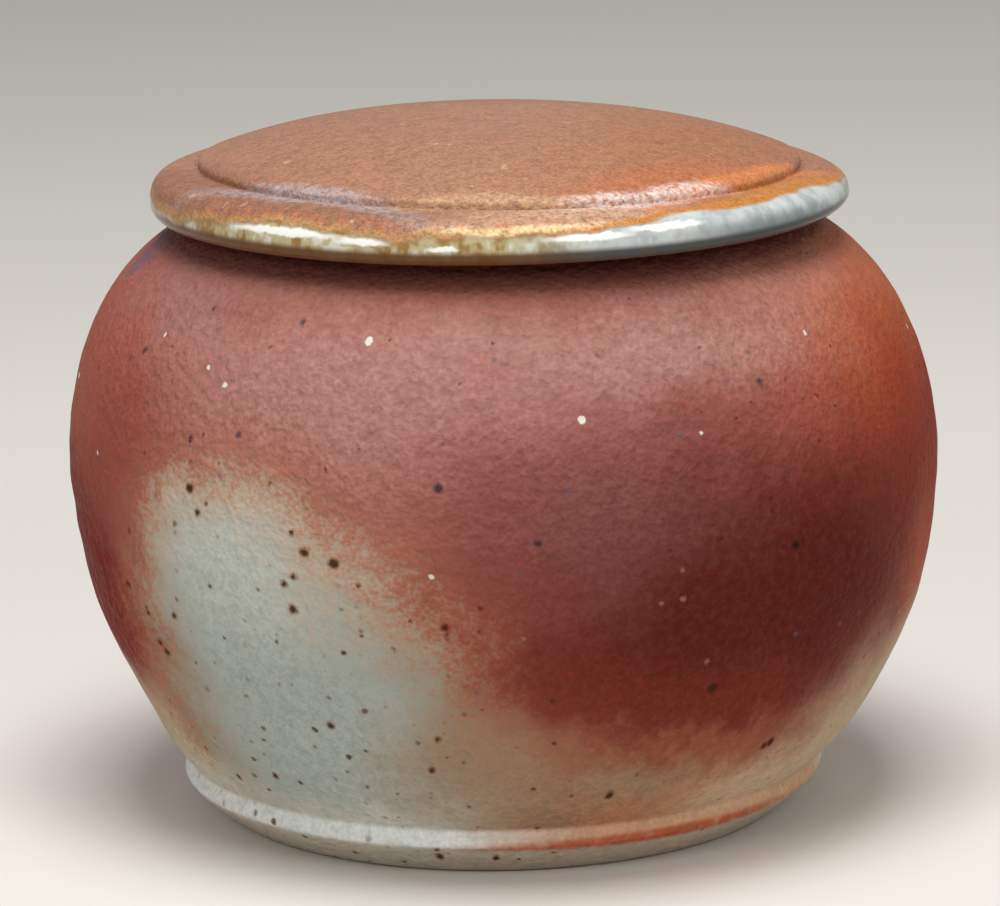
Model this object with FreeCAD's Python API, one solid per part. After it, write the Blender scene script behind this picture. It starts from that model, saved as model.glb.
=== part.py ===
"""Stoneware bean pot with a lift-off lid: two wheel-thrown pieces of fired clay.

The pot is a round belly on a bevelled foot, closing in to a low mouth with a flat land. The lid is a shallow crown
with a turned step and a thick rounded rim. It rests on the land, and a ring under it drops into the mouth.

Millimetres, +Z up. The origin is the centre of the foot, on the surface that the pot stands on.
Both pieces are turned about Z, so each is one closed outline in the XZ plane, revolved.
"""

import FreeCAD, Part
import math
import os
from FreeCAD import Vector

# --- Pot: foot -----------------------------------------------------------------------------------------------------
FOOT_RADIUS = 65.3  # where the foot meets the table
FOOT_LAND = 9.0  # width of the ring that the pot stands on
FOOT_RECESS = 2.6  # depth turned out of the base, inside that ring
FOOT_RECESS_FLARE = 2.2  # how far the recess's wall leans out over its depth
FOOT_BEVEL_OUT = 9.0  # the knife's cut under the foot: how far out it runs
FOOT_BEVEL_UP = 7.7  # and how far up, to the foot's arris
COLLAR_HEIGHT = 3.9  # the rounded band between the arris and the waist
COLLAR_IN = 0.9  # how far the waist lies inside the arris
COVE_UP = 3.2  # the finger's cove that turns the waist out into the wall
COVE_OUT = 3.1

# --- Pot: wall -----------------------------------------------------------------------------------------------------
BELLY_RADIUS = 100.0  # the widest ring
BELLY_HEIGHT = 84.0
FLARE_HEIGHT = 42.0  # a ring of the lower wall, where it turns up towards the belly
FLARE_IN = 8.1  # how far that ring lies inside the belly
SHOULDER_DROP = 17.5  # a ring of the shoulder, below the lid's seat
SHOULDER_IN = 11.3  # how far that ring lies inside the belly
SHOULDER_SLOPE = 0.55  # rise of the shoulder for each millimetre in, where it reaches the rim
WALL = 6.4  # thickness of the wall, square to its surface
FLOOR = 7.4  # clay between the recess and the inside
FLOOR_SWEEP = 26.0  # width of the curve by which the floor turns up into the wall

# --- Pot: mouth ----------------------------------------------------------------------------------------------------
SEAT_HEIGHT = 139.5  # the flat land that carries the lid
MOUTH_RADIUS = 60.5
MOUTH_DEPTH = 4.6  # straight bore of the mouth, from the land down
RIM_WIDTH = 8.2  # clay at the mouth, from its bore to the shoulder
RIM_ROUND_OUT = 1.6  # the rim's arrises, rounded with a wet leather
RIM_ROUND_IN = 1.2

# --- Lid -----------------------------------------------------------------------------------------------------------
LID_RADIUS = 79.9  # the rim's nose
NOSE_HEIGHT = 2.8  # the nose, above the seat
NOSE_UNDERCUT = 4.4  # how far the nose turns back in, underneath
SHELF_HEIGHT = 9.7  # the rim's top beside the step, above the seat
SHELF_SLOPE = 0.2  # fall of the rim for each millimetre out, where it leaves the step
STEP_RADIUS = 68.8  # the turned step
STEP_RISE = 2.0  # how far the crown stands over the shelf
STEP_ROUND = 1.5  # the crown's edge
GROOVE = 0.5  # width and depth of the tool's line at the foot of the step
CROWN_RISE = 9.1  # the crown's own rise, from the step to the middle
CROWN_RING = 44.0  # a ring of the crown
CROWN_RING_DROP = 2.6  # how far that ring lies below the middle
CROWN_SLOPE = 0.42  # fall of the crown for each millimetre out, at its edge
LID_CLAY = 7.6  # thickness of the crown, square to its surface

# --- Lid: the ring that drops into the mouth -----------------------------------------------------------------------
RING_CLEARANCE = 1.5  # all round, between the ring and the mouth
RING_DEPTH = 8.6
RING_WIDTH = 5.4
RING_TAPER = 0.7  # how much the ring slims towards its lip, on each side
HOLLOW_ROUND = 7.0  # where the ring turns into the underside of the crown

UP = Vector(0, 0, 1)
DOWN = Vector(0, 0, -1)
OUT = Vector(1, 0, 0)
IN = Vector(-1, 0, 0)


def ring(radius, height):
    """A ring of a turned piece, as its point on the outline."""
    return Vector(radius, 0, height)


def line(start, end):
    return Part.LineSegment(start, end).toShape()


def sweep(points, leaving, arriving):
    """A smooth curve through the points, with the given directions at its two ends."""
    spline = Part.BSplineCurve()
    spline.interpolate(Points=points, InitialTangent=leaving, FinalTangent=arriving)
    return spline


def rounded(corner, start, end):
    """A quarter round in a square corner, its two ends as far from the corner as each other."""
    centre = start + end - corner
    return Part.Arc(start, centre + (corner - centre) * math.sqrt(0.5), end).toShape()


def beside(spline, distance, count):
    """Points at an even distance to the left of a curve, which is the clay's side of an outline drawn outwards."""
    points = []
    for step in range(count):
        place = spline.FirstParameter + (spline.LastParameter - spline.FirstParameter) * step / (count - 1)
        along = spline.tangent(place)[0]
        points.append(spline.value(place) + Vector(-along.z, 0, along.x) * distance)
    return points


def turned(edges):
    """The solid that a closed outline sweeps about Z."""
    return Part.Face(Part.Wire(edges)).revolve(Vector(0, 0, 0), UP, 360)


def pot_body():
    """The pot's outline: under the foot, up the outside, over the rim, down the inside and back along the floor."""
    foot_in = ring(FOOT_RADIUS - FOOT_LAND, 0)
    recess_edge = ring(foot_in.x - FOOT_RECESS_FLARE, FOOT_RECESS)
    foot_out = ring(FOOT_RADIUS, 0)
    arris = ring(FOOT_RADIUS + FOOT_BEVEL_OUT, FOOT_BEVEL_UP)
    waist = ring(arris.x - COLLAR_IN, arris.z + COLLAR_HEIGHT)
    cove_top = waist + OUT * COVE_OUT + UP * COVE_UP

    flare = ring(BELLY_RADIUS - FLARE_IN, FLARE_HEIGHT)
    belly = ring(BELLY_RADIUS, BELLY_HEIGHT)
    shoulder = ring(BELLY_RADIUS - SHOULDER_IN, SEAT_HEIGHT - SHOULDER_DROP)
    neck = ring(MOUTH_RADIUS + RIM_WIDTH, SEAT_HEIGHT - RIM_ROUND_OUT)
    into_rim = IN + UP * SHOULDER_SLOPE
    lower_wall = sweep([cove_top, flare, belly], flare - cove_top, UP)
    upper_wall = sweep([belly, shoulder, neck], UP, into_rim)

    land_out = ring(neck.x - RIM_ROUND_OUT, SEAT_HEIGHT)
    land_in = ring(MOUTH_RADIUS + RIM_ROUND_IN, SEAT_HEIGHT)
    bore_top = ring(MOUTH_RADIUS, SEAT_HEIGHT - RIM_ROUND_IN)
    bore_foot = ring(MOUTH_RADIUS, SEAT_HEIGHT - MOUTH_DEPTH)

    # The inside keeps one wall from the outside, between the floor's sweep and the mouth.
    floor_height = FOOT_RECESS + FLOOR
    rising = [p for p in beside(lower_wall, WALL, 7) if p.z > floor_height + FLOOR_SWEEP / 2]
    closing = [p for p in beside(upper_wall, WALL, 7)[1:] if p.x > MOUTH_RADIUS + WALL]
    floor_edge = ring(rising[0].x - FLOOR_SWEEP, floor_height)
    inner_wall = sweep([floor_edge] + rising + closing + [bore_foot], OUT, into_rim)

    floor_middle = ring(0, floor_height)
    recess_middle = ring(0, FOOT_RECESS)
    return turned(
        [
            line(recess_middle, recess_edge),
            line(recess_edge, foot_in),
            line(foot_in, foot_out),
            line(foot_out, arris),
            sweep([arris, waist], UP, IN + UP).toShape(),
            sweep([waist, cove_top], UP, flare - cove_top).toShape(),
            lower_wall.toShape(),
            upper_wall.toShape(),
            rounded(ring(neck.x, SEAT_HEIGHT), neck, land_out),
            line(land_out, land_in),
            rounded(ring(MOUTH_RADIUS, SEAT_HEIGHT), land_in, bore_top),
            line(bore_top, bore_foot),
            inner_wall.toShape(),
            line(floor_edge, floor_middle),
            line(floor_middle, recess_middle),
        ]
    )


def lid():
    """The lid's outline: from the middle of the crown out over the rim, in along the seat, round the ring and up."""
    shelf = SEAT_HEIGHT + SHELF_HEIGHT
    crown_edge = shelf + STEP_RISE
    middle = ring(0, crown_edge + CROWN_RISE)
    crown_ring = ring(CROWN_RING, middle.z - CROWN_RING_DROP)
    crown_turn = ring(STEP_RADIUS - STEP_ROUND, crown_edge)
    step_top = ring(STEP_RADIUS, crown_edge - STEP_ROUND)
    groove_foot = ring(STEP_RADIUS, shelf - GROOVE)
    shelf_start = ring(STEP_RADIUS + GROOVE, shelf)
    nose = ring(LID_RADIUS, SEAT_HEIGHT + NOSE_HEIGHT)
    under_nose = ring(LID_RADIUS - NOSE_UNDERCUT, SEAT_HEIGHT)
    crown = sweep([middle, crown_ring, crown_turn], OUT, OUT + DOWN * CROWN_SLOPE)

    ring_out = MOUTH_RADIUS - RING_CLEARANCE
    ring_in = ring_out - RING_WIDTH
    ring_root = ring(ring_out, SEAT_HEIGHT)
    lip_radius = (RING_WIDTH - 2 * RING_TAPER) / 2
    lip_foot = ring((ring_out + ring_in) / 2, SEAT_HEIGHT - RING_DEPTH)
    lip_out = lip_foot + OUT * lip_radius + UP * lip_radius
    lip_in = lip_foot + IN * lip_radius + UP * lip_radius

    # The underside keeps one thickness of clay below the crown, and turns down into the ring.
    ceiling = [p for p in beside(crown, -LID_CLAY, 9) if p.x < ring_in - HOLLOW_ROUND]
    ring_top = ring(ring_in, ceiling[-1].z - HOLLOW_ROUND)
    hollow = sweep([ring_top] + ceiling[::-1], UP, IN)
    return turned(
        [
            crown.toShape(),
            rounded(ring(STEP_RADIUS, crown_edge), crown_turn, step_top),
            line(step_top, groove_foot),
            line(groove_foot, shelf_start),
            sweep([shelf_start, nose], OUT + DOWN * SHELF_SLOPE, DOWN).toShape(),
            sweep([nose, under_nose], DOWN, IN).toShape(),
            line(under_nose, ring_root),
            line(ring_root, lip_out),
            Part.Arc(lip_out, lip_foot, lip_in).toShape(),
            line(lip_in, ring_top),
            hollow.toShape(),
            line(ceiling[0], middle),
        ]
    )


PIECES = {"pot_body": pot_body, "lid": lid}

os.makedirs("parts", exist_ok=True)
for name, make in PIECES.items():
    piece = make()
    if piece.ShapeType != "Solid" or not piece.isValid():
        raise RuntimeError("the outline of " + name + " crosses itself")
    piece.exportStep(os.path.join("parts", name + ".step"))
    box = piece.BoundBox
    print("%s: %.1f cm3, from %.1f to %.1f mm up" % (name, piece.Volume / 1000, box.ZMin, box.ZMax))
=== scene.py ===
import math

import bpy
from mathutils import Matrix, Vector, noise
from numpy import interp


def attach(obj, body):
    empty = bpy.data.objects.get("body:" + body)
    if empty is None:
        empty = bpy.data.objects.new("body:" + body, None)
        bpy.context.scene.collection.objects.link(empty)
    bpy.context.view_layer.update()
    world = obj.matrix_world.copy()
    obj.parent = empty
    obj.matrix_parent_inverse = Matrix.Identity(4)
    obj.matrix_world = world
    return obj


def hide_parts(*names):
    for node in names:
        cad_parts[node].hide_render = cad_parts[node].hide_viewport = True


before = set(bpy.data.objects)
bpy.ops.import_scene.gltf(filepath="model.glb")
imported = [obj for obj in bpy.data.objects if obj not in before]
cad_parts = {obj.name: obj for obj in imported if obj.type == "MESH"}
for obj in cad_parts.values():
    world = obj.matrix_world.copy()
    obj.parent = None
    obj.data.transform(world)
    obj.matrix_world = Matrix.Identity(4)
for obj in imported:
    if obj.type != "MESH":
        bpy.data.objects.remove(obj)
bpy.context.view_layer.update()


# --- The pot -------------------------------------------------------------------------------------------
# One round-bellied piece of coarse stoneware, thrown on a wheel: recess and standing ring under it, a bevel
# cut with a knife, collar and finger's cove, then the wall up to the shoulder, the flat land that the lid
# sits on, and the inside down to the floor. It was fired unglazed, and the flame turned it red and grey.
MM = 0.001
AROUND = 80  # how many points draw a ring of clay

# The rings of clay that give the pot its outline, each as its radius and its height.
FOOT_RINGS = [(14, 2.6), (36, 2.6), (52.4, 2.6), (54.2, 2.4), (55.9, 0.4), (57.0, 0.0), (64.6, 0.0)]
BEVEL_RINGS = [(65.8, 0.5), (69.7, 3.7), (73.3, 6.8)]
COLLAR_RINGS = [(74.3, 7.9), (74.5, 9.2), (74.2, 10.4), (73.7, 11.3), (73.9, 12.2)]
WALL_RINGS = [
    (75.2, 13.5), (80.0, 19.2), (85.8, 29.0), (91.8, 41.0), (96.3, 53.0), (98.6, 65.0), (99.9, 77.0),
    (99.8, 89.0), (97.9, 101.0), (94.6, 111.5), (90.1, 120.0), (84.0, 127.5), (77.0, 133.2), (69.9, 137.4),
]  # fmt: skip
LAND_RINGS = [(68.2, 138.6), (67.1, 139.4), (65.6, 139.5), (62.6, 139.5), (61.2, 139.3)]
BORE_RINGS = [(60.6, 138.5), (60.5, 137.0), (61.0, 134.7)]
INSIDE_RINGS = [
    (64.0, 133.0), (77.4, 124.0), (87.4, 111.4), (92.6, 96.2), (93.4, 76.1), (89.1, 52.3), (78.0, 30.9),
]  # fmt: skip
FLOOR_RINGS = [(71.5, 20.7), (66.0, 14.8), (58.9, 11.1), (50.9, 10.0), (36, 10), (14, 10)]

# How far the wall bows to the right of its foot, by height.
BOW_HEIGHTS = [0, 9, 14, 30, 54, 72, 84, 114, 139]
BOW = [0, 0, 0.9, 2.2, 1.9, 1.8, 1.5, 0.9, 0.1]


def curved(rings):
    """The same rings with one more between each two, on a smooth curve through them all."""
    places = [Vector((radius, 0, height)) for radius, height in rings]
    drawn = rings[:1]
    for before, start, end, after in zip(places[:1] + places, places, places[1:], places[2:] + places[-1:]):
        third = (end - start).length / 3
        leaving = start + (end - before).normalized() * third
        arriving = end - (after - start).normalized() * third
        middle = (start + 3 * leaving + 3 * arriving + end) / 8
        drawn += [(middle.x, middle.z), (end.x, end.z)]
    return drawn


def throw(name, rings, around, leans):
    """Draws the clay out from ring to ring, closes both ends and smooths it, as one piece turned about Z."""
    bpy.ops.object.select_all(action="DESELECT")
    start_radius, start_height = rings[0]
    bpy.ops.mesh.primitive_circle_add(
        vertices=around, radius=start_radius * MM, location=(leans(start_height) * MM, 0, start_height * MM)
    )
    piece = bpy.context.object
    piece.name = piece.data.name = name
    bpy.ops.object.transform_apply(location=True)
    bpy.ops.object.mode_set(mode="EDIT")
    bpy.ops.mesh.select_all(action="SELECT")
    for (radius, height), (next_radius, next_height) in zip(rings, rings[1:]):
        lean = leans(next_height)
        step = Vector((lean - leans(height), 0, next_height - height)) * MM
        spread = next_radius / radius
        bpy.ops.mesh.extrude_region_move(TRANSFORM_OT_translate={"value": step})
        bpy.ops.transform.resize(value=(spread, spread, 1), center_override=(lean * MM, 0, next_height * MM))
    bpy.ops.mesh.edge_face_add()
    bpy.ops.mesh.select_all(action="DESELECT")
    bpy.ops.mesh.select_non_manifold()
    bpy.ops.mesh.edge_face_add()
    bpy.ops.mesh.select_all(action="SELECT")
    bpy.ops.mesh.normals_make_consistent(inside=False)
    bpy.ops.object.mode_set(mode="OBJECT")
    bpy.ops.object.modifier_add(type="SUBSURF")
    piece.modifiers[-1].levels = piece.modifiers[-1].render_levels = 2
    bpy.ops.object.modifier_apply(modifier=piece.modifiers[-1].name)
    bpy.ops.object.shade_smooth()
    return piece


def pot_lean(height):
    """How far to the right the wall stands at a height."""
    return interp(height, BOW_HEIGHTS, BOW)


outside = BEVEL_RINGS + COLLAR_RINGS + curved(WALL_RINGS)
inside = BORE_RINGS + curved(INSIDE_RINGS) + FLOOR_RINGS
pot = throw("thrown_pot", FOOT_RINGS + outside + LAND_RINGS + inside, AROUND, pot_lean)


def wall_radius(height):
    """How far out the wall stands at a height."""
    return interp(height, [z for _, z in outside], [r for r, _ in outside])


def unit(azimuth):
    """The direction of a place on the outside, in degrees round from the front, towards the right."""
    return Vector((math.sin(math.radians(azimuth)), -math.cos(math.radians(azimuth)), 0))


# The fingers left soft, uneven ridges round the wall. They fade out towards the foot and the lid's seat.
RIDGE = 0.22
LUMP = 0.35
for vertex in pot.data.vertices:
    place = vertex.co / MM
    on_wall = interp(place.z, [14, 24, 127, 137], [0, 1, 1, 0])
    ridge = noise.noise(Vector((place.x / 70, place.y / 70, place.z / 5.5))) * RIDGE
    lump = noise.noise(place / 34) * LUMP
    outward = Vector((place.x, place.y, 0)).normalized()
    vertex.co += outward * (ridge + lump) * on_wall * MM


class Fired:
    """A fired surface, built up in layers as the nodes of one material. Its lengths are in millimetres."""

    def __init__(self, name, leans):
        self.leans = leans
        self.material = bpy.data.materials.new(name)
        self.material.use_nodes = True
        self.shader = self.material.node_tree.nodes["Principled BSDF"]
        at = self.node("ShaderNodeTexCoord").outputs["Object"]
        self.place = self.node("ShaderNodeVectorMath", operation="SCALE", Vector=at, Scale=1 / MM).outputs[0]
        self.strayed = self.place  # the place as patches see it, moved a little so that their edges wander

    def node(self, kind, *inputs, **given):
        """One node. Inputs fill its sockets in order. Names set a socket or a choice of the node's own."""
        made = self.material.node_tree.nodes.new(kind)
        for name in [n for n in given if hasattr(made, n)]:
            setattr(made, name, given.pop(name))
        in_use = [socket for socket in made.inputs if socket.enabled]
        pairs = list(zip(in_use, inputs)) + [(made.inputs[name], value) for name, value in given.items()]
        for socket, value in pairs:
            if isinstance(value, bpy.types.NodeSocket):
                self.material.node_tree.links.new(value, socket)
            else:
                socket.default_value = value
        return made

    def sum(self, how, first, second):
        """Two values put together by one step of arithmetic."""
        return self.node("ShaderNodeMath", first, second, operation=how).outputs[0]

    def grain(self, size, seed=0, detail=2.0, stretch=(1, 1, 1)):
        """Uneven values from 0 to 1, with features of one size, drawn out along an axis by stretch."""
        shift = Vector((31, 17, 7)) * seed
        scale = [1 / (size * s) for s in stretch]
        moved = self.node("ShaderNodeMapping", Vector=self.place, Location=shift, Scale=scale).outputs[0]
        return self.node("ShaderNodeTexNoise", Vector=moved, Scale=1.0, Detail=detail, Roughness=0.6).outputs

    def fade(self, value, low, high, start=0.0, end=1.0):
        """Turns softly from start, where the value is low, to end, where it is high."""
        return self.node(
            "ShaderNodeMapRange", value, low, high, start, end, interpolation_type="SMOOTHSTEP"
        ).outputs[0]

    def stray(self, place, size, reach, seed):
        """Moves a place by up to a reach, in waves of one size, so that the edges of patches wander."""
        waves = self.grain(size, seed)["Color"]
        swing = self.node("ShaderNodeVectorMath", waves, (0.5,) * 3, operation="SUBTRACT")
        swing = self.node("ShaderNodeVectorMath", swing.outputs[0], operation="SCALE", Scale=reach * 3)
        return self.node("ShaderNodeVectorMath", place, swing.outputs[0], operation="ADD").outputs[0]

    def spread(self, azimuth, out, height, wide, tall, turn=0, deep=120, place=None):
        """How far a place lies from the middle of an oval patch of the surface: 1 is the patch's edge."""
        local = self.node(
            "ShaderNodeMapping",
            vector_type="TEXTURE",
            Vector=place or self.strayed,
            Location=unit(azimuth) * out + Vector((self.leans(height), 0, height)),
            Rotation=(0, math.radians(turn), math.radians(azimuth)),
            Scale=(wide / 2, deep / 2, tall / 2),
        )
        return self.node("ShaderNodeVectorMath", local.outputs[0], operation="LENGTH").outputs["Value"]

    def least(self, *values, turn=0.1):
        """The smallest of some values, with a soft turn from one to the next."""
        least = values[0]
        for value in values[1:]:
            least = self.node("ShaderNodeMath", least, value, turn, operation="SMOOTH_MIN").outputs[0]
        return least

    def over(self, colour, top, cover, how="MIX"):
        """One colour over another, as thick as cover says."""
        made = self.node("ShaderNodeMix", data_type="RGBA", blend_type=how)
        for name, value in (("Factor_Float", cover), ("A_Color", colour), ("B_Color", top)):
            socket = next(s for s in made.inputs if s.identifier == name)
            if isinstance(value, bpy.types.NodeSocket):
                self.material.node_tree.links.new(value, socket)
            else:
                socket.default_value = value
        return next(s for s in made.outputs if s.identifier == "Result_Color")

    def finish(self, colour, roughness, relief, depth):
        """Joins the layers to the shader, with a relief of a depth in millimetres."""
        bump = self.node("ShaderNodeBump", Height=relief, Distance=depth * MM, Strength=1.0)
        for name, value in (("Base Color", colour), ("Roughness", roughness), ("Normal", bump.outputs[0])):
            self.material.node_tree.links.new(value, self.shader.inputs[name])


def swatch(red, green, blue):
    """A colour as a swatch gives it, from 0 to 255, as the shader wants it."""
    return [((c / 255 + 0.055) / 1.055) ** 2.4 for c in (red, green, blue)] + [1]


clay = Fired("flashed_stoneware", pot_lean)
for size, reach, seed in ((38, 8, 1), (9, 3.5, 2), (1.7, 1.2, 3)):
    clay.strayed = clay.stray(clay.strayed, size, reach, seed)

# Where the flame turned the bare clay, with painted sheen on the shoulder and the lid's painted shadow among
# the patches: azimuth, height, the patch's own width and height, turn, softness, strength, colour.
FLASHES_SHEEN_AND_SHADOW = [
    # Partly the clay's mauve, partly painted sheen where the overhead light glints on the shoulder.
    (-18, 118, 130, 40, 0, 0.7, 0.8, (158, 112, 104)),
    # Partly the clay's colour, partly painted sheen on the right of the shoulder.
    (36, 124, 116, 22, 0, 0.7, 0.8, (158, 116, 106)),
    (-66, 130, 60, 14, 0, 0.7, 0.7, (146, 114, 112)),
    # Painted shadow: the lid's shadow darkening the shoulder under it.
    (6, 134, 150, 16, 0, 0.7, 0.7, (130, 74, 62)),
    (68, 131, 50, 14, 0, 0.7, 0.8, (168, 118, 104)),
    (-78, 108, 64, 56, 0, 0.7, 0.9, (156, 82, 66)),
    (-58, 98, 44, 32, 0, 0.8, 0.8, (142, 68, 54)),
    (76, 114, 84, 40, 0, 0.7, 0.9, (174, 94, 60)),
    (66, 98, 96, 40, 0, 0.8, 0.8, (152, 60, 36)),
    (12, 97, 84, 34, 0, 0.8, 0.7, (148, 94, 88)),
    (74, 82, 64, 42, 0, 0.7, 0.85, (128, 44, 26)),
    (-2, 62, 40, 60, 14, 0.7, 0.7, (134, 62, 48)),
    (30, 68, 112, 76, 0, 0.5, 0.9, (112, 46, 38)),
    (38, 64, 92, 54, 0, 0.6, 0.9, (84, 27, 18)),
    (10, 88, 60, 32, 0, 0.8, 0.6, (122, 74, 72)),
    (26, 42, 90, 22, 8, 0.7, 0.7, (112, 42, 26)),
    (78, 56, 36, 40, 0, 0.6, 0.9, (158, 74, 46)),
    (84, 82, 28, 44, 0, 0.7, 0.9, (134, 42, 24)),
    (-76, 60, 62, 60, 0, 0.5, 1.0, (116, 22, 12)),
    (-96, 62, 70, 56, 0, 0.8, 0.9, (108, 40, 30)),
    (-84, 131, 20, 4, 0, 0.6, 0.6, (96, 86, 108)),
]
colour = swatch(158, 96, 82)
for azimuth, height, wide, tall, turn, soft, strength, tint in FLASHES_SHEEN_AND_SHADOW:
    away = clay.spread(azimuth, wall_radius(height), height, wide, tall, turn)
    colour = clay.over(colour, swatch(*tint), clay.fade(away, 1 - soft, 1 + soft, strength, 0.0))

# Lower down the fire was cooler: the clay stayed tan, streaked with ash, and buff round both sides.
up = clay.node("ShaderNodeSeparateXYZ", clay.strayed).outputs["Z"]
streaks = clay.grain(4, seed=4, stretch=(1, 1, 2.2))["Fac"]
cool = clay.sum("ADD", up, clay.fade(streaks, 0.3, 0.7, -2.5, 2.5))
colour = clay.over(colour, swatch(140, 80, 56), clay.fade(cool, 41, 30))
colour = clay.over(colour, swatch(176, 126, 94), clay.fade(cool, 33, 14, 0.0, 0.9))

# Fly ash settled as a grey-green bloom where the flame didn't reach. Its edge is stippled by the clay's
# grain, peach and tan, and orange where it thins.
fine = clay.grain(0.9, seed=5, detail=1.0)["Fac"]
coarse = clay.grain(2.4, seed=6, detail=1.0)["Fac"]
stipple = clay.sum("ADD", clay.fade(fine, 0.3, 0.7, -0.07, 0.07), clay.fade(coarse, 0.3, 0.7, -0.06, 0.06))
bloom = clay.least(
    clay.spread(-38, 97, 62, 66, 71),
    clay.spread(-29, 94, 28, 96, 118),
    clay.spread(170, 96, 40, 120, 80),
    turn=0.6,
)
bloom = clay.sum("ADD", bloom, stipple)
high = clay.fade(up, 46, 82)
colour = clay.over(colour, swatch(158, 98, 74), clay.fade(bloom, 0.9, 1.3, 0.7, 0.0))
side = clay.least(clay.spread(80, 90, 11, 116, 88), clay.spread(-76, 84, 8, 108, 64), turn=0.6)
colour = clay.over(colour, swatch(178, 156, 130), clay.fade(side, 0.5, 1.2, 1.0, 0.0))
rim = clay.over(swatch(150, 122, 98), swatch(180, 152, 130), high)
colour = clay.over(colour, rim, clay.fade(bloom, 0.7, 1.1, 1.0, 0.0))
ash = clay.over(swatch(160, 166, 158), swatch(184, 188, 178), high)
colour = clay.over(colour, ash, clay.fade(bloom, 0.36, 0.94, 1.0, 0.0))
thin = clay.least(clay.spread(-4, 84, 24, 50, 44), clay.spread(18, 82, 25, 40, 14), turn=0.6)
colour = clay.over(colour, swatch(150, 124, 98), clay.fade(thin, 0.3, 1.3, 0.8, 0.0))

# Painted light: the foot of the wall is lightened, white to the left and cream to the right, as light from
# the floor.
for azimuth, wide, top, tint in ((-50, 110, 26, (206, 202, 190)), (64, 90, 33, (204, 182, 152))):
    foot_light = clay.fade(clay.spread(azimuth, 80, 14, wide, 60), 0.6, 1.35, 1.0, 0.0)
    colour = clay.over(colour, swatch(*tint), clay.sum("MULTIPLY", foot_light, clay.fade(up, top, 11, 0.0, 0.7)))

# Painted shadow: the shoulder right under the lid is darkened where the lid's shadow falls. Ash lies thick
# and pale on the collar and the bevel, and the arris between them burned red along the right of the front.
true_height = clay.node("ShaderNodeSeparateXYZ", clay.place).outputs["Z"]
lid_shadow = clay.fade(true_height, 133.4, 135.2, 0.0, 0.55)
colour = clay.over(colour, swatch(84, 34, 24), lid_shadow)
on_collar = clay.least(clay.fade(true_height, 7.6, 8.6), clay.fade(true_height, 13.0, 11.0))
creamy = clay.fade(clay.spread(40, 74, 10, 110, 60), 0.6, 1.2, 1.0, 0.0)
thick_ash = clay.over(swatch(224, 228, 224), swatch(206, 162, 130), creamy)
colour = clay.over(colour, thick_ash, clay.sum("MULTIPLY", on_collar, 0.9))
on_bevel = clay.fade(true_height, 8.0, 7.0)
colour = clay.over(colour, swatch(188, 176, 160), clay.sum("MULTIPLY", on_bevel, 0.85))
red_arris = clay.fade(clay.spread(28, 75, 8.2, 92, 3.6, place=clay.place), 0.4, 1.2, 0.9, 0.0)
red_arris = clay.sum("MULTIPLY", red_arris, clay.fade(streaks, 0.3, 0.5, 0.5, 1.0))
colour = clay.over(colour, swatch(176, 84, 54), red_arris)

# The coarse clay's own grain, in colour and in relief.
light = clay.sum("MULTIPLY", clay.fade(fine, 0.3, 0.7, 0.93, 1.06), clay.fade(coarse, 0.3, 0.7, 0.93, 1.06))
colour = clay.node("ShaderNodeHueSaturation", Color=colour, Value=light).outputs[0]

# Painted sheen: pale specks on the shoulder stand in for light glinting off the clay's satin grain.
sheen_flecks = clay.fade(clay.grain(1.7, seed=9)["Fac"], 0.36, 0.8)
sheen_area = clay.least(clay.spread(-19, 98, 112, 80, 34), clay.spread(30, 88, 122, 84, 22))
sheen_area = clay.sum("MULTIPLY", clay.fade(sheen_area, 0.3, 1.5, 0.22, 0.03), clay.fade(bloom, 0.9, 1.3))
colour = clay.over(colour, swatch(208, 172, 166), clay.sum("MULTIPLY", sheen_flecks, sheen_area))

# Grains of other clay in the body: some blue-grey, some pale, some red.
nudged = clay.stray(clay.place, 1.6, 0.4, 8)
crumbs = clay.node("ShaderNodeTexVoronoi", nudged, Scale=0.2)
kind = clay.node("ShaderNodeSeparateColor", crumbs.outputs["Color"]).outputs
crumb = clay.sum("SUBTRACT", crumbs.outputs["Distance"], clay.fade(kind[0], 0.4, 1.0, 0.0, 0.18))
crumb_tint = clay.over(swatch(94, 84, 96), swatch(166, 116, 102), clay.fade(kind[1], 0.44, 0.46))
crumb_tint = clay.over(crumb_tint, swatch(146, 54, 38), clay.fade(kind[1], 0.74, 0.76))
colour = clay.over(colour, crumb_tint, clay.fade(crumb, -0.1, 0.03, 0.5, 0.0))

# Iron in the clay burned through as dark specks of all sizes, each with a brown stain round it. Few show on
# the red.
ores = clay.node("ShaderNodeTexVoronoi", nudged, Scale=0.27)
ore_kind = clay.node("ShaderNodeSeparateColor", ores.outputs["Color"]).outputs
ore = clay.sum("SUBTRACT", ores.outputs["Distance"], clay.fade(ore_kind[0], 0.4, 1.0, 0.0, 0.22))
ore = clay.sum("ADD", ore, clay.fade(bloom, 0.9, 1.3, 0.0, 0.1))
RUST = swatch(190, 150, 118)
colour = clay.over(colour, RUST, clay.fade(ore, -0.04, 0.1, 0.6, 0.0), "MULTIPLY")
burned = clay.fade(ore, -0.08, 0.0, 0.9, 0.0)
burned = clay.sum("MULTIPLY", burned, clay.fade(ore_kind[1], 0.2, 0.8, 0.5, 1.0))
colour = clay.over(colour, swatch(74, 48, 36), burned)

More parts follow.
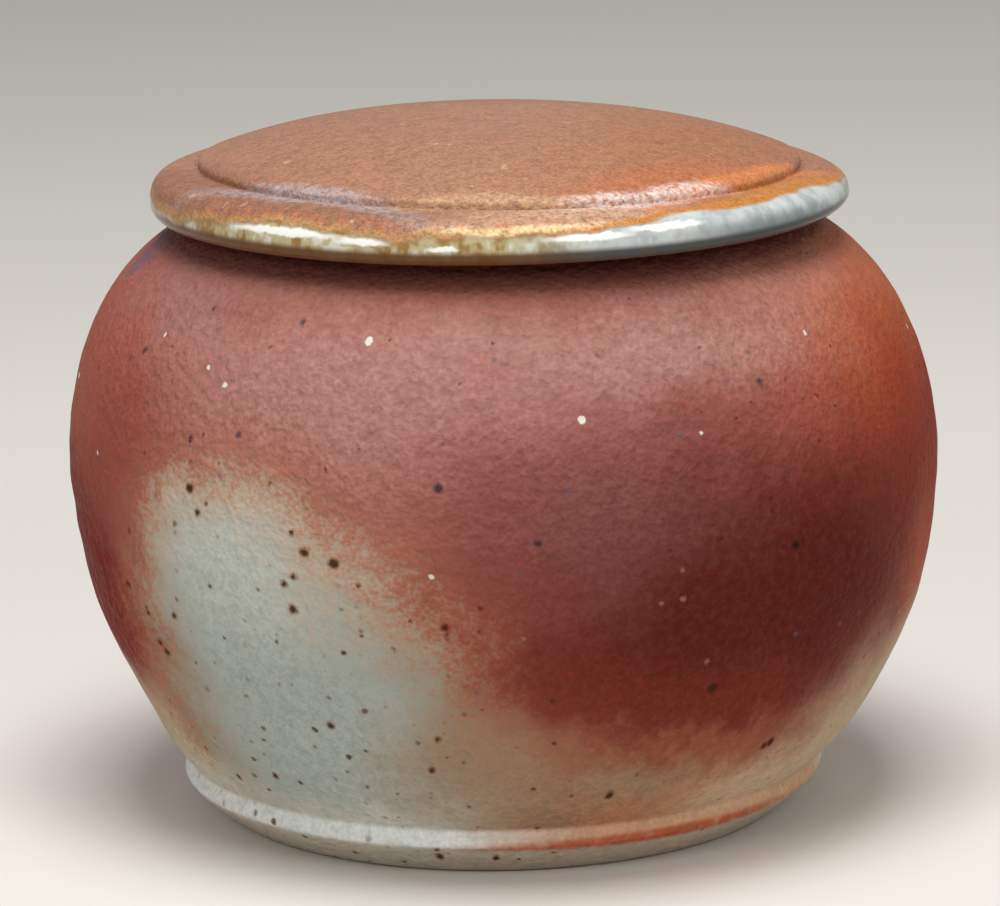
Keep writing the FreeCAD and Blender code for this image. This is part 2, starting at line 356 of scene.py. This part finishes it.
# The largest specks, the blue spots and the pale grog that stands proud: azimuth, height and size.
IRON = [
    (-43.5, 90.7, 1.1), (-42, 85.7, 0.9), (-25.8, 80.1, 1.2), (-21.8, 78.2, 1.4), (-27.5, 74.4, 0.8),
    (-29, 72.4, 0.9), (-28, 66.7, 1.3), (-7.8, 64.8, 1.0), (-25.5, 39.1, 1.0), (-49.5, 19.4, 0.9),
    (-39.5, 22.7, 1.0), (-11.5, 29.1, 0.9), (-10, 37.4, 0.7), (42.6, 28.2, 1.3), (41.4, 27.6, 1.1),
    (15.6, 21, 1.2), (-12.8, 5.3, 1.3), (-2.8, 5, 1.1), (28.2, 46.2, 1.3), (-54, 52, 0.9), (-53, 50, 1.1),
    (-49, 60, 0.8), (-59, 64, 0.8),
]  # fmt: skip
BLUE = [
    (-48, 127.3, 1.0), (-30.5, 127.3, 1.2), (-58.5, 116.7, 1.4), (-36, 104, 1.3), (-44, 101.6, 1.2),
    (-8.2, 95.5, 1.7), (3.9, 83.4, 1.3), (39.2, 76.6, 1.6), (36.4, 112.6, 1.3),
]  # fmt: skip
GROG = [
    (-19.2, 124.5, 1.3), (-40, 113.4, 0.8), (-43.8, 116.4, 0.7), (-55.5, 120.6, 0.6), (-82, 104, 1.2),
    (10.2, 108.8, 1.15), (81.2, 111.9, 0.8), (-9.2, 76.3, 0.8), (48, 120, 0.6), (26, 104, 0.5),
    (-66, 92, 0.6),
]  # fmt: skip


# The dots are laid out on a tube round the pot.
TUBE = 90
TUBE_ASIDE = 1.5  # how far the tube stands to the right, as the belly does
aside = clay.node("ShaderNodeVectorMath", nudged, (1, 1, 0), (-TUBE_ASIDE, 0, 0), operation="MULTIPLY_ADD")
aside = clay.node("ShaderNodeVectorMath", aside.outputs[0], operation="NORMALIZE").outputs[0]
rise = clay.node("ShaderNodeVectorMath", nudged, (0, 0, 1), operation="MULTIPLY").outputs[0]
on_tube = clay.node("ShaderNodeVectorMath", aside, (TUBE,) * 3, rise, operation="MULTIPLY_ADD").outputs[0]


def dots(places):
    """How far a place lies outside the nearest of some dots, in millimetres."""
    nearest = 9.0
    for azimuth, height, size in places:
        middle = unit(azimuth) * TUBE + Vector((0, 0, height))
        away = clay.node("ShaderNodeVectorMath", on_tube, middle, operation="DISTANCE").outputs["Value"]
        nearest = clay.least(nearest, clay.sum("SUBTRACT", away, size * 0.7))
    return nearest


colour = clay.over(colour, swatch(136, 160, 186), clay.fade(dots(BLUE), -0.8, 0.4, 1.0, 0.0), "MULTIPLY")
iron = dots(IRON)
colour = clay.over(colour, RUST, clay.fade(iron, -0.1, 0.8, 0.8, 0.0), "MULTIPLY")
colour = clay.over(colour, swatch(54, 38, 30), clay.fade(iron, -0.4, 0.2, 0.9, 0.0))
grog = clay.fade(dots(GROG), -0.2, 0.2, 0.95, 0.0)
colour = clay.over(colour, swatch(214, 210, 198), grog)

relief = clay.sum("ADD", clay.sum("MULTIPLY", fine, 0.3), coarse)
relief = clay.sum("ADD", relief, clay.sum("MULTIPLY", grog, 0.3))
clay.finish(colour, clay.fade(coarse, 0.3, 0.7, 0.46, 0.62), relief, 0.75)
clay.shader.inputs["Specular IOR Level"].default_value = 0.03

pot.data.materials.append(clay.material)
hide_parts("pot_body")
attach(pot, "pot")

# --- The lid -------------------------------------------------------------------------------------------
# One thrown piece: a shallow crown with a turned step, a thick rounded rim, a flat seat and the ring that
# drops into the pot's mouth. Its rim carries a thick glaze of wood ash that ran to the edge and pooled.
CROWN_RINGS = [(10, 160.2), (33, 159.2), (52, 156.0), (64, 152.5)]
STEP_RINGS = [(66.9, 151.4), (68.3, 150.9), (68.8, 150.1), (68.8, 149.2), (68.9, 148.6), (69.4, 148.9)]
RIM_RINGS = [(70.2, 149.1), (75.1, 148.1), (78.9, 146.0), (80.0, 142.8), (79.4, 140.4), (77.0, 139.5)]
SEAT_RINGS = [(75.0, 139.5), (68.0, 139.5), (60.4, 139.5), (59.1, 139.3), (58.9, 138.2)]
LIP_RINGS = [(58.4, 133.3), (57.9, 131.6), (56.3, 130.8), (54.7, 131.6), (54.3, 133.0)]
HOLLOW_RINGS = [
    (53.7, 142.6), (53.2, 145.4), (51.5, 148.3), (47.3, 149.8), (38.0, 150.8), (24.0, 152.2), (10.0, 152.6),
]  # fmt: skip

# How far the lid stands to the right, by height: its crown and rim a little more than the ring under them.
ASIDE_HEIGHTS = [131, 139.4, 140, 161]
ASIDE = [0.6, 0.6, 1.7, 1.9]


def lid_lean(height):
    """How far to the right the lid stands at a height."""
    return interp(height, ASIDE_HEIGHTS, ASIDE)


top = curved(CROWN_RINGS) + STEP_RINGS + curved(RIM_RINGS)
lid = throw("thrown_lid", top + SEAT_RINGS + LIP_RINGS + HOLLOW_RINGS, AROUND, lid_lean)

# It dried a little askew: the top of it stands highest at the front and to the left.
RISE_TO_FRONT = 0.02
RISE_TO_LEFT = 0.016
for vertex in lid.data.vertices:
    place = vertex.co / MM
    in_top = interp(place.z, [140.5, 147], [0, 1])
    vertex.co.z -= (RISE_TO_FRONT * place.y + RISE_TO_LEFT * place.x) * in_top * MM

toasted = Fired("ash_glazed_stoneware", lid_lean)
flowing = toasted.stray(toasted.stray(toasted.place, 26, 2, 11), 7, 0.7, 12)
toasted.strayed = toasted.stray(flowing, 1.4, 1.2, 13)
true_up = toasted.node("ShaderNodeSeparateXYZ", toasted.place).outputs["Z"]

# The bare crown: azimuth, distance out, width and depth of the patch, softness, strength, colour.
colour = swatch(166, 121, 97)
TOASTS = [
    (-70, 40, 110, 70, 0.8, 0.7, (160, 112, 88)),
    (72, 50, 110, 60, 0.8, 0.8, (162, 106, 74)),
    (180, 56, 160, 60, 0.8, 0.7, (148, 104, 80)),
    (-60, 74, 130, 16, 0.6, 0.8, (144, 98, 76)),
    (40, 62, 70, 12, 0.8, 0.6, (184, 106, 66)),
    (54, 66, 80, 4, 0.8, 0.95, (206, 126, 76)),
    (-22, 75, 48, 8, 0.7, 0.7, (138, 98, 74)),
    (56, 74, 84, 10, 0.6, 0.9, (188, 124, 60)),
]
for azimuth, out, wide, deep, soft, strength, tint in TOASTS:
    away = toasted.spread(azimuth, out, 150, wide, 60, 0, deep)
    colour = toasted.over(colour, swatch(*tint), toasted.fade(away, 1 - soft, 1 + soft, strength, 0.0))

# Painted sheen: the lamps' reflections on the satin step, painted lilac to the left, gold in the middle,
# white to the right.
STEP_SHEENS = [
    (-38, 69, 60, 6, 0.7, 0.8, (176, 164, 168)),
    (21, 69.1, 28, 5, 0.7, 0.95, (226, 208, 204)),
    (36, 67.4, 24, 4, 0.7, 0.9, (228, 206, 198)),
    (12, 74, 50, 10, 0.8, 0.7, (204, 170, 142)),
    (-2, 67.5, 40, 5, 0.7, 0.6, (208, 172, 128)),
]
sheen_breakup = toasted.fade(toasted.grain(1.5, seed=14)["Fac"], 0.25, 0.6)
for azimuth, out, wide, deep, soft, strength, tint in STEP_SHEENS:
    away = toasted.spread(azimuth, out, 150, wide, 40, 0, deep)
    step_sheen = toasted.fade(away, 1 - soft, 1 + soft, strength, 0.0)
    colour = toasted.over(colour, swatch(*tint), toasted.sum("MULTIPLY", step_sheen, sheen_breakup))

# The glaze runs out from the step, over the nose and down. It starts high on the right and low in the
# middle. A place's run is how far out it lies less how high, so it grows all the way down the rim.
RIM_ASIDE = 1.8  # how far the rim stands to the right
level = toasted.node("ShaderNodeVectorMath", flowing, (1, 1, 0), (-RIM_ASIDE, 0, 0), operation="MULTIPLY_ADD")
out = toasted.node("ShaderNodeVectorMath", level.outputs[0], operation="LENGTH").outputs["Value"]
run = toasted.sum("SUBTRACT", out, toasted.node("ShaderNodeSeparateXYZ", flowing).outputs["Z"])
swell = toasted.spread(48, 79, 146, 100, 60, 0, 70, flowing)
left = toasted.spread(-80, 79, 146, 90, 60, 0, 70, flowing)
tongue = toasted.spread(-32, 79, 146, 44, 60, 0, 70, flowing)
start = toasted.fade(swell, 0.3, 1.2, -72.0, -66.5)
start = toasted.sum("ADD", start, toasted.fade(left, 0.3, 1.1, 3.0, 0.0))
start = toasted.sum("ADD", start, toasted.fade(tongue, 0.2, 1.2, -1.6, 0.0))
below = toasted.sum("SUBTRACT", run, start)

# Where it is thin, along its start, it is amber, and it spat orange beads over the bare shelf.
sparks = toasted.fade(toasted.grain(2.6, seed=19, detail=1.0)["Fac"], 0.46, 0.7, 0.0, 0.8)
beads = toasted.sum("MULTIPLY", toasted.fade(below, -8.0, -2.0), sparks)
spitting = toasted.fade(toasted.spread(-18, 76, 147, 76, 60), 0.6, 1.3, 1.0, 0.15)
beads = toasted.sum("MULTIPLY", beads, spitting)
colour = toasted.over(colour, swatch(204, 112, 66), beads)
amber = toasted.over(swatch(192, 122, 46), swatch(180, 136, 90), toasted.fade(swell, 0.9, 1.3))
colour = toasted.over(colour, amber, toasted.fade(below, -3.5, -0.8, 0.0, 0.95))

# Where it is thick it is glassy and cloudy: olive and amber to the left, grey to the right.
glazed = toasted.fade(below, -0.9, 1.5)
clouds = toasted.grain(4.0, seed=16, stretch=(1, 1, 1.3))["Fac"]
right = toasted.fade(swell, 0.8, 1.4, 1.0, 0.0)
glass = toasted.over(swatch(182, 170, 132), swatch(188, 193, 190), right)
dark = toasted.over(swatch(142, 104, 48), swatch(164, 171, 171), right)
glass = toasted.over(glass, dark, toasted.fade(clouds, 0.48, 0.64, 0.0, 0.85))
pale = toasted.over(swatch(216, 218, 210), swatch(198, 203, 199), right)
glass = toasted.over(glass, pale, toasted.fade(clouds, 0.46, 0.34, 0.0, 0.7))

# To the right it pooled blue-grey below the nose, and it is brown along its lower edge. Painted highlights:
# white glints of the lamps on the nose, and gold above them in the middle. The glints: azimuth, height, own
# width and height.
pool = toasted.spread(50, 79.8, 142.8, 56, 6, 0, 40, flowing)
glass = toasted.over(glass, swatch(98, 110, 116), toasted.fade(pool, 0.3, 1.3, 0.7, 0.0))
edge = toasted.over(swatch(98, 62, 30), swatch(66, 66, 64), right)
glass = toasted.over(glass, edge, toasted.fade(true_up, 143.4, 141.9, 0.0, 0.95))
broken = toasted.stray(toasted.place, 2.4, 0.5, 15)
NOSE_GLINTS = [
    (-37, 145.6, 36, 2.2), (-22, 144.8, 15, 2.0), (-9, 143.6, 8, 1.4),
    (27, 146.2, 22, 1.8), (14, 145.4, 22, 2.0),
]  # fmt: skip
for azimuth, height, wide, tall in NOSE_GLINTS:
    glint = toasted.spread(azimuth, 79.2, height, wide, tall, 0, 12, broken)
    glass = toasted.over(glass, swatch(244, 246, 242), toasted.fade(glint, 0.5, 1.1, 0.95, 0.0))
colour = toasted.over(colour, glass, glazed)
# Painted highlight: a gold line of light along the upper bend of the nose.
gold = toasted.fade(toasted.spread(3, 78.4, 147.4, 44, 2.0, 0, 20, flowing), 0.4, 1.3, 0.8, 0.0)
colour = toasted.over(colour, swatch(242, 212, 160), toasted.sum("MULTIPLY", gold, sheen_breakup))

# Under the nose the clay is bare again, so that the lid doesn't stick to the pot.
bare = toasted.fade(true_up, 140.5, 139.8)
colour = toasted.over(colour, swatch(112, 66, 44), bare)

# Painted shade: a dark line in the groove at the front, where the step's recess falls in shadow.
groove = toasted.node("ShaderNodeMath", out, 69.0, 0.3, operation="COMPARE").outputs[0]
front = toasted.fade(toasted.spread(-4, 69, 149, 76, 3, 0, 30, toasted.place), 0.7, 1.1, 0.7, 0.0)
colour = toasted.over(colour, swatch(84, 56, 46), toasted.sum("MULTIPLY", groove, front))

# The grain shows on the bare clay, with a few pale and dark crumbs in it, and the glaze covers it.
fine = toasted.grain(0.8, seed=17, detail=1.0)["Fac"]
coarse = toasted.grain(2.6, seed=18, detail=1.0)["Fac"]
light = toasted.fade(fine, 0.3, 0.7, 0.82, 1.16)
light = toasted.sum("MULTIPLY", light, toasted.fade(coarse, 0.3, 0.7, 0.9, 1.08))
rough_colour = toasted.node("ShaderNodeHueSaturation", Color=colour, Value=light).outputs[0]
rough_colour = toasted.over(rough_colour, swatch(166, 110, 78), toasted.fade(coarse, 0.54, 0.74, 0.0, 0.3))
lid_crumbs = toasted.node("ShaderNodeTexVoronoi", toasted.strayed, Scale=0.24)
lid_kind = toasted.node("ShaderNodeSeparateColor", lid_crumbs.outputs["Color"]).outputs
lid_crumb = toasted.fade(lid_kind[0], 0.4, 1.0, 0.0, 0.2)
lid_crumb = toasted.sum("SUBTRACT", lid_crumbs.outputs["Distance"], lid_crumb)
lid_tint = toasted.over(swatch(212, 178, 142), swatch(96, 76, 72), toasted.fade(lid_kind[1], 0.6, 0.62))
rough_colour = toasted.over(rough_colour, lid_tint, toasted.fade(lid_crumb, -0.1, 0.02, 0.6, 0.0))
colour = toasted.over(rough_colour, colour, glazed)
wet = toasted.sum("MULTIPLY", glazed, toasted.fade(true_up, 139.8, 140.5))
relief = toasted.sum("MULTIPLY", toasted.sum("ADD", fine, coarse), toasted.fade(wet, 0.0, 1.0, 1.0, 0.08))
toasted.finish(colour, toasted.fade(wet, 0.0, 1.0, 0.42, 0.08), relief, 0.28)
toasted.shader.inputs["Specular IOR Level"].default_value = 0.15

lid.data.materials.append(toasted.material)
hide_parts("lid")
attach(lid, "cover")

# --- The studio ----------------------------------------------------------------------------------------
# A plain pale floor, soft light from overhead and from both sides, and the camera, at the height of the
# eyes of someone who bends down to the pot.
bpy.ops.mesh.primitive_plane_add(size=12)
floor = bpy.context.object
floor.name = "floor"
paper = bpy.data.materials.new("pale_paper")
paper.use_nodes = True
paper_shader = paper.node_tree.nodes["Principled BSDF"].inputs
paper_shader["Base Color"].default_value = swatch(226, 222, 214)
paper_shader["Roughness"].default_value = 0.9
floor.data.materials.append(paper)


def softbox(name, place, size, watts):
    """A square lamp, turned to face the middle of the pot."""
    facing = (Vector((0, 0, 0.08)) - Vector(place)).to_track_quat("-Z", "Y").to_euler()
    bpy.ops.object.light_add(type="AREA", location=place, rotation=facing)
    lamp = bpy.context.object
    lamp.name = name
    lamp.data.shape = "SQUARE"
    lamp.data.size = size
    lamp.data.energy = watts


softbox("overhead", (0.0, -0.32, 1.4), 0.7, 17)
softbox("left", (-0.9, -1.3, 0.9), 0.6, 5)
softbox("right", (0.9, -1.3, 0.9), 0.6, 5)

world = bpy.data.worlds.new("room")
bpy.context.scene.world = world
world.use_nodes = True
daylight = world.node_tree.nodes["Background"].inputs
daylight["Color"].default_value = swatch(236, 236, 236)
daylight["Strength"].default_value = 0.38

LOOKING_DOWN = math.radians(12.67)
TILT = math.radians(1.14)
DISTANCE = 1.249
AIM = Vector((0.65, 0, 80.95)) * MM
LENS = 194.4
back = Vector((0, -math.cos(LOOKING_DOWN), math.sin(LOOKING_DOWN))) * DISTANCE
bpy.ops.object.camera_add(location=AIM + back)
camera = bpy.context.object
camera.rotation_mode = "ZYX"
camera.rotation_euler = (math.radians(90) - LOOKING_DOWN, 0, -TILT)
camera.data.lens = LENS
bpy.context.scene.camera = camera
bpy.context.scene.view_settings.view_transform = "Standard"
